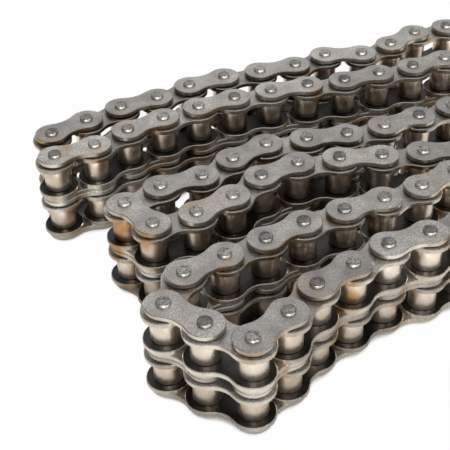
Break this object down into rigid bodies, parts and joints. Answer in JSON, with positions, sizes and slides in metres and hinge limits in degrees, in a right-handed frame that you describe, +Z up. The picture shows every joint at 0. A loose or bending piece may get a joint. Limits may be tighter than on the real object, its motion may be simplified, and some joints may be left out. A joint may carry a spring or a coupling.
{
  "type": "duplex roller chain",
  "caption": "Two-strand riveted roller chain laid on its side and folded to and fro, with hinged links, open inner links at both ends and bores for a connecting link.",
  "frame": {"origin": "centre of the folded chain's footprint, at the level of the lower pin ends it lies on", "axes": "+X along the runs, to the right of the view from the front; +Y to the back run; +Z up along the pins"},
  "size_m": [0.3806, 0.2567, 0.0597],
  "materials": {
    "plate_steel": "satin tumbled carbon steel, bright blanked edges",
    "pin_steel": "hardened pin steel, dull riveted ends with a bright bevel",
    "bush_steel": "plain hardened steel",
    "roller_steel": "smooth oiled steel with a faint straw temper tint"
  },
  "bodies": {
    "inner_link_01": {"inner_link_01": "plate_steel"},
    "outer_link_02": {"outer_link_02": "plate_steel"},
    "inner_link_03": {"inner_link_03": "plate_steel"},
    "outer_link_04": {"outer_link_04": "plate_steel"},
    "inner_link_05": {"inner_link_05": "plate_steel"},
    "outer_link_06": {"outer_link_06": "plate_steel"},
    "inner_link_07": {"inner_link_07": "plate_steel"},
    "outer_link_08": {"outer_link_08": "plate_steel"},
    "inner_link_09": {"inner_link_09": "plate_steel"},
    "outer_link_10": {"outer_link_10": "plate_steel"},
    "inner_link_11": {"inner_link_11": "plate_steel"},
    "outer_link_12": {"outer_link_12": "plate_steel"},
    "inner_link_13": {"inner_link_13": "plate_steel"},
    "outer_link_14": {"outer_link_14": "plate_steel"},
    "inner_link_15": {"inner_link_15": "plate_steel"},
    "run_2": {"run_2_outer_plates": "plate_steel", "run_2_centre_plates": "plate_steel", "run_2_pins": "pin_steel", "run_2_inner_plates": "plate_steel", "run_2_bushes": "bush_steel", "run_2_rollers": "roller_steel"},
    "inner_link_27": {"inner_link_27": "plate_steel"},
    "outer_link_28": {"outer_link_28": "plate_steel"},
    "inner_link_29": {"inner_link_29": "plate_steel"},
    "run_3": {"run_3_outer_plates": "plate_steel", "run_3_centre_plates": "plate_steel", "run_3_pins": "pin_steel", "run_3_inner_plates": "plate_steel", "run_3_bushes": "bush_steel", "run_3_rollers": "roller_steel"},
    "inner_link_39": {"inner_link_39": "plate_steel"},
    "outer_link_40": {"outer_link_40": "plate_steel"},
    "inner_link_41": {"inner_link_41": "plate_steel"},
    "run_4": {"run_4_outer_plates": "plate_steel", "run_4_centre_plates": "plate_steel", "run_4_pins": "pin_steel", "run_4_inner_plates": "plate_steel", "run_4_bushes": "bush_steel", "run_4_rollers": "roller_steel"},
    "inner_link_49": {"inner_link_49": "plate_steel"},
    "run_5": {"run_5_outer_plates": "plate_steel", "run_5_centre_plates": "plate_steel", "run_5_pins": "pin_steel", "run_5_inner_plates": "plate_steel", "run_5_bushes": "bush_steel", "run_5_rollers": "roller_steel"},
    "inner_link_57": {"inner_link_57": "plate_steel"},
    "outer_link_58": {"outer_link_58": "plate_steel"},
    "inner_link_59": {"inner_link_59": "plate_steel"},
    "outer_link_60": {"outer_link_60": "plate_steel"},
    "inner_link_61": {"inner_link_61": "plate_steel"},
    "outer_link_62": {"outer_link_62": "plate_steel"},
    "inner_link_63": {"inner_link_63": "plate_steel"},
    "outer_link_64": {"outer_link_64": "plate_steel"},
    "inner_link_65": {"inner_link_65": "plate_steel"},
    "back_end_roller_lower": {"back_end_roller_lower": "roller_steel"},
    "back_end_roller_upper": {"back_end_roller_upper": "roller_steel"},
    "front_end_roller_lower": {"front_end_roller_lower": "roller_steel"},
    "front_end_roller_upper": {"front_end_roller_upper": "roller_steel"}
  },
  "joints": [
    {"name": "pin_01_hinge", "type": "hinge", "parent": "outer_link_02", "child": "inner_link_01", "pos_m": [0.1531, 0.10196, 0.02987], "axis": [0, 0, 1], "range_deg": [-40, 40]},
    {"name": "pin_02_hinge", "type": "hinge", "parent": "inner_link_03", "child": "outer_link_02", "pos_m": [0.12776, 0.10373, 0.02987], "axis": [0, 0, -1], "range_deg": [-40, 15]},
    {"name": "pin_03_hinge", "type": "hinge", "parent": "outer_link_04", "child": "inner_link_03", "pos_m": [0.10261, 0.10726, 0.02987], "axis": [0, 0, 1], "range_deg": [0, 40]},
    {"name": "pin_04_hinge", "type": "hinge", "parent": "inner_link_05", "child": "outer_link_04", "pos_m": [0.07797, 0.10112, 0.02987], "axis": [0, 0, -1], "range_deg": [-40, 0]},
    {"name": "pin_05_hinge", "type": "hinge", "parent": "outer_link_06", "child": "inner_link_05", "pos_m": [0.05263, 0.09935, 0.02987], "axis": [0, 0, 1], "range_deg": [0, 40]},
    {"name": "pin_06_hinge", "type": "hinge", "parent": "inner_link_07", "child": "outer_link_06", "pos_m": [0.02942, 0.10968, 0.02987], "axis": [0, 0, -1], "range_deg": [-40, 0]},
    {"name": "pin_07_hinge", "type": "hinge", "parent": "outer_link_08", "child": "inner_link_07", "pos_m": [0.00416, 0.10702, 0.02987], "axis": [0, 0, 1], "range_deg": [0, 40]},
    {"name": "pin_08_hinge", "type": "hinge", "parent": "inner_link_09", "child": "outer_link_08", "pos_m": [-0.02085, 0.11143, 0.02987], "axis": [0, 0, -1], "range_deg": [-40, 0]},
    {"name": "pin_09_hinge", "type": "hinge", "parent": "outer_link_10", "child": "inner_link_09", "pos_m": [-0.04587, 0.11584, 0.02987], "axis": [0, 0, 1], "range_deg": [0, 40]},
    {"name": "pin_10_hinge", "type": "hinge", "parent": "inner_link_11", "child": "outer_link_10", "pos_m": [-0.07126, 0.11629, 0.02987], "axis": [0, 0, -1], "range_deg": [-40, 0]},
    {"name": "pin_11_hinge", "type": "hinge", "parent": "outer_link_12", "child": "inner_link_11", "pos_m": [-0.09635, 0.11231, 0.02987], "axis": [0, 0, 1], "range_deg": [0, 40]},
    {"name": "pin_12_hinge", "type": "hinge", "parent": "inner_link_13", "child": "outer_link_12", "pos_m": [-0.12175, 0.11231, 0.02987], "axis": [0, 0, -1], "range_deg": [-40, 0]},
    {"name": "pin_13_hinge", "type": "hinge", "parent": "outer_link_14", "child": "inner_link_13", "pos_m": [-0.14684, 0.10834, 0.02987], "axis": [0, 0, 1], "range_deg": [0, 40]},
    {"name": "pin_14_hinge", "type": "hinge", "parent": "inner_link_15", "child": "outer_link_14", "pos_m": [-0.17168, 0.10306, 0.02987], "axis": [0, 0, 1], "range_deg": [0, 83]},
    {"name": "pin_15_hinge", "type": "hinge", "parent": "run_2", "child": "inner_link_15", "pos_m": [-0.17825, 0.07852, 0.02987], "axis": [0, 0, 1], "range_deg": [0, 124]},
    {"name": "pin_26_hinge", "type": "hinge", "parent": "inner_link_27", "child": "run_2", "pos_m": [0.09817, 0.06571, 0.02987], "axis": [0, 0, -1], "range_deg": [0, 47]},
    {"name": "pin_27_hinge", "type": "hinge", "parent": "outer_link_28", "child": "inner_link_27", "pos_m": [0.12017, 0.05301, 0.02987], "axis": [0, 0, -1], "range_deg": [0, 100]},
    {"name": "pin_28_hinge", "type": "hinge", "parent": "inner_link_29", "child": "outer_link_28", "pos_m": [0.11148, 0.02914, 0.02987], "axis": [0, 0, -1], "range_deg": [0, 60]},
    {"name": "pin_29_hinge", "type": "hinge", "parent": "run_3", "child": "inner_link_29", "pos_m": [0.08949, 0.01644, 0.02987], "axis": [0, 0, -1], "range_deg": [0, 40]},
    {"name": "pin_38_hinge", "type": "hinge", "parent": "run_3", "child": "inner_link_39", "pos_m": [-0.13493, 0.01954, 0.02987], "axis": [0, 0, -1], "range_deg": [0, 40]},
    {"name": "pin_39_hinge", "type": "hinge", "parent": "inner_link_39", "child": "outer_link_40", "pos_m": [-0.15958, 0.0134, 0.02987], "axis": [0, 0, -1], "range_deg": [0, 113]},
    {"name": "pin_40_hinge", "type": "hinge", "parent": "outer_link_40", "child": "inner_link_41", "pos_m": [-0.153, -0.01114, 0.02987], "axis": [0, 0, -1], "range_deg": [0, 89]},
    {"name": "pin_41_hinge", "type": "hinge", "parent": "inner_link_41", "child": "run_4", "pos_m": [-0.1277, -0.01335, 0.02987], "axis": [0, 0, -1], "range_deg": [0, 36]},
    {"name": "pin_48_hinge", "type": "hinge", "parent": "run_4", "child": "inner_link_49", "pos_m": [0.04148, -0.03193, 0.02987], "axis": [0, 0, 1], "range_deg": [0, 140]},
    {"name": "pin_49_hinge", "type": "hinge", "parent": "inner_link_49", "child": "run_5", "pos_m": [0.02147, -0.04757, 0.02987], "axis": [0, 0, 1], "range_deg": [0, 50]},
    {"name": "pin_56_hinge", "type": "hinge", "parent": "run_5", "child": "inner_link_57", "pos_m": [-0.15559, -0.05685, 0.02987], "axis": [0, 0, -1], "range_deg": [0, 55]},
    {"name": "pin_57_hinge", "type": "hinge", "parent": "inner_link_57", "child": "outer_link_58", "pos_m": [-0.17447, -0.07384, 0.02987], "axis": [0, 0, -1], "range_deg": [0, 96]},
    {"name": "pin_58_hinge", "type": "hinge", "parent": "outer_link_58", "child": "inner_link_59", "pos_m": [-0.16254, -0.09627, 0.02987], "axis": [0, 0, -1], "range_deg": [0, 40]},
    {"name": "pin_59_hinge", "type": "hinge", "parent": "inner_link_59", "child": "outer_link_60", "pos_m": [-0.14691, -0.11629, 0.02987], "axis": [0, 0, -1], "range_deg": [0, 91]},
    {"name": "pin_60_hinge", "type": "hinge", "parent": "outer_link_60", "child": "inner_link_61", "pos_m": [-0.12289, -0.10802, 0.02987], "axis": [0, 0, -1], "range_deg": [0, 40]},
    {"name": "pin_61_hinge", "type": "hinge", "parent": "inner_link_61", "child": "outer_link_62", "pos_m": [-0.10006, -0.09688, 0.02987], "axis": [0, 0, 1], "range_deg": [-40, 0]},
    {"name": "pin_62_hinge", "type": "hinge", "parent": "outer_link_62", "child": "inner_link_63", "pos_m": [-0.07522, -0.0916, 0.02987], "axis": [0, 0, -1], "range_deg": [-8, 40]},
    {"name": "pin_63_hinge", "type": "hinge", "parent": "inner_link_63", "child": "outer_link_64", "pos_m": [-0.05028, -0.08676, 0.02987], "axis": [0, 0, 1], "range_deg": [-40, 12]},
    {"name": "pin_64_hinge", "type": "hinge", "parent": "outer_link_64", "child": "inner_link_65", "pos_m": [-0.02494, -0.08853, 0.02987], "axis": [0, 0, -1], "range_deg": [-25, 40]},
    {"name": "back_end_roller_lower_spin", "type": "hinge", "parent": "inner_link_01", "child": "back_end_roller_lower", "pos_m": [0.17825, 0.09842, 0.01542], "axis": [0, 0, 1], "continuous": true},
    {"name": "back_end_roller_upper_spin", "type": "hinge", "parent": "inner_link_01", "child": "back_end_roller_upper", "pos_m": [0.17825, 0.09842, 0.04381], "axis": [0, 0, 1], "continuous": true},
    {"name": "front_end_roller_lower_spin", "type": "hinge", "parent": "inner_link_65", "child": "front_end_roller_lower", "pos_m": [0.00044, -0.08764, 0.01542], "axis": [0, 0, 1], "continuous": true},
    {"name": "front_end_roller_upper_spin", "type": "hinge", "parent": "inner_link_65", "child": "front_end_roller_upper", "pos_m": [0.00044, -0.08764, 0.04381], "axis": [0, 0, 1], "continuous": true}
  ]
}
